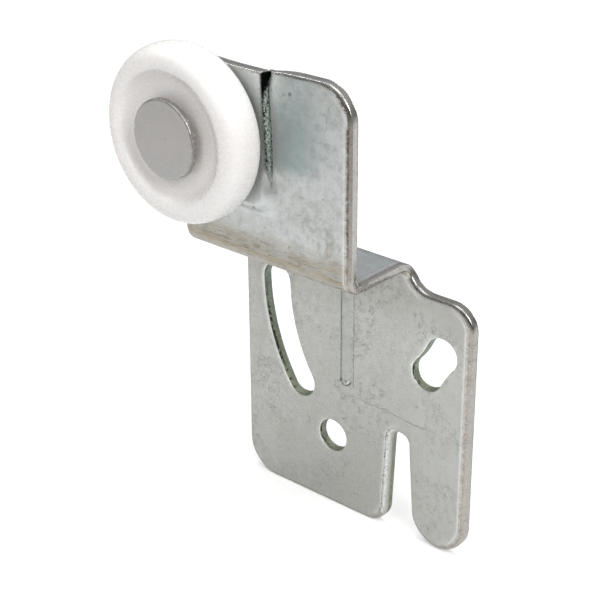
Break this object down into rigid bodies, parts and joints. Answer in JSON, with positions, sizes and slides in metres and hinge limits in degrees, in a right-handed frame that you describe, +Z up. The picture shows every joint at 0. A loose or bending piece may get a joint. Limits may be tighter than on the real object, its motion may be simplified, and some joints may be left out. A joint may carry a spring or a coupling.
{
  "type": "sliding door roller",
  "caption": "Folded steel hanger plate with a screw hole, a double eye, an arc slot and an open slot, carrying a crowned nylon wheel on a riveted axle with a ball bearing.",
  "frame": {"origin": "centre of the wheel, on its axis, midway across its width", "axes": "+Y along the wheel's axis from the rivet head towards the bracket, +X across the bracket towards the open slot's finger, +Z up"},
  "size_m": [0.0497, 0.0229, 0.0758],
  "materials": {
    "zinc_plated_sheet": "satin zinc plating with fine scratches",
    "white_nylon": "satin to gloss moulded nylon",
    "bearing_steel": "bright drawn steel",
    "bearing_balls": "polished",
    "zinc_plated_rivet": "satin zinc plating"
  },
  "bodies": {
    "frame": {"bracket": "zinc_plated_sheet", "axle_rivet": "zinc_plated_rivet", "front_cone": "bearing_steel", "rear_cone": "bearing_steel"},
    "wheel": {"wheel_tyre": "white_nylon", "outer_race": "bearing_steel"},
    "ball_train": {"ball_01": "bearing_balls", "ball_02": "bearing_balls", "ball_03": "bearing_balls", "ball_04": "bearing_balls", "ball_05": "bearing_balls", "ball_06": "bearing_balls", "ball_07": "bearing_balls", "ball_08": "bearing_balls", "ball_09": "bearing_balls", "ball_10": "bearing_balls", "ball_11": "bearing_balls", "ball_12": "bearing_balls", "ball_13": "bearing_balls", "ball_14": "bearing_balls"}
  },
  "joints": [
    {"name": "wheel_spin", "type": "hinge", "parent": "frame", "child": "wheel", "pos_m": [0, 0, 0], "axis": [0, 1, 0], "continuous": true},
    {"name": "ball_orbit", "type": "hinge", "parent": "frame", "child": "ball_train", "pos_m": [0, 0, 0], "axis": [0, 1, 0], "continuous": true}
  ],
  "couplings": [
    {"joint": "ball_orbit", "follows": "wheel_spin", "ratio": 0.6087}
  ]
}
